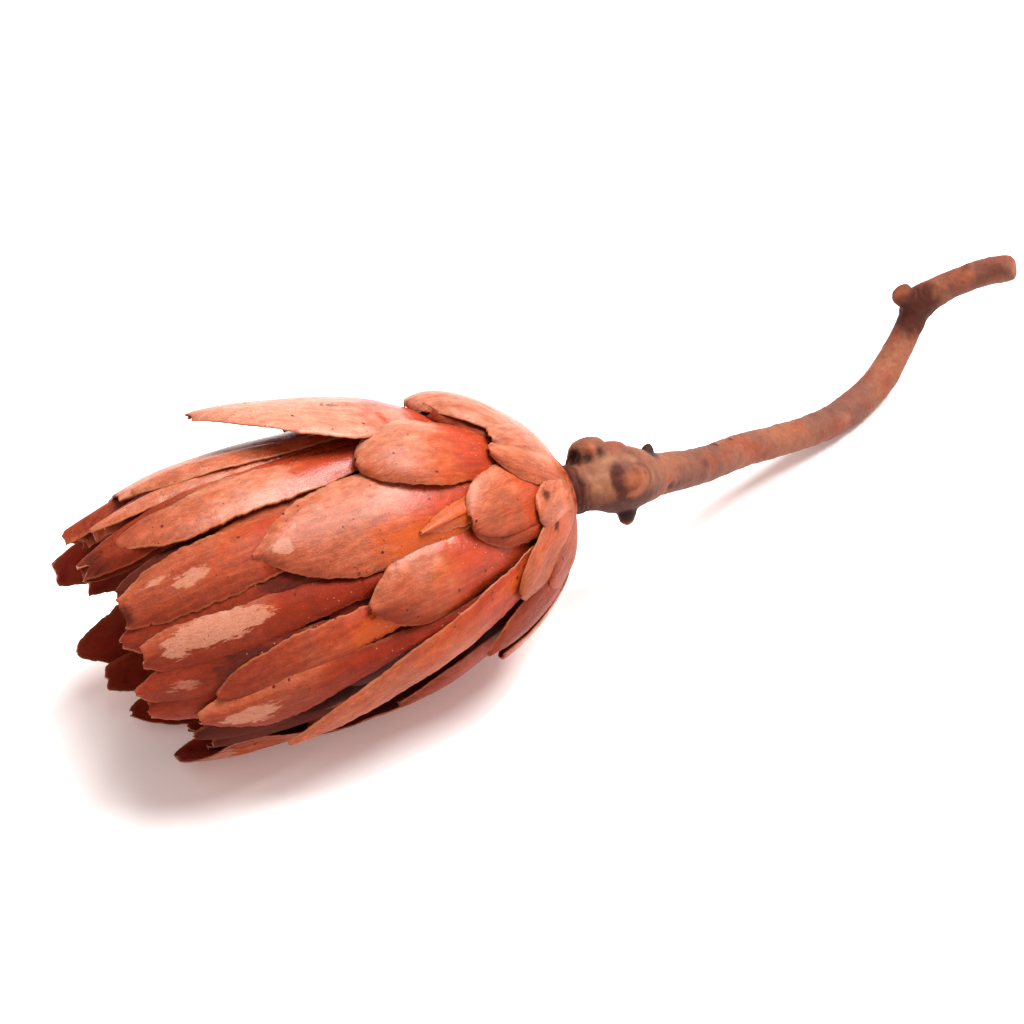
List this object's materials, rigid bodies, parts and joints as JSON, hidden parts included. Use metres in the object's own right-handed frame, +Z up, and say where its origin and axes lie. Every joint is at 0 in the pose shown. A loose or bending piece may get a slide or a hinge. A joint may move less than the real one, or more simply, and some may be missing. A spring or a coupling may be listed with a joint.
{
  "type": "dried protea flower head on a stem",
  "caption": "Dried sugarbush protea: a closed cone of overlapping woody bracts round a brush of florets, on a short bent stem, lying on its side.",
  "frame": {"origin": "on the surface that the flower lies on, below the middle of its bounding box", "axes": "+X along the length from the head's mouth towards the stem's free end, +Z up, -Y towards the side that the picture shows"},
  "size_m": [0.2162, 0.0696, 0.0582],
  "materials": {
    "bract": "dry, terracotta orange, glossy at the bases and matt brown at the tips",
    "floret": "dry matt dark brown fibres",
    "stem": "matt weathered bark"
  },
  "bodies": {
    "root": {"bracts": "bract", "florets": "floret", "stem": "stem"}
  },
  "joints": []
}
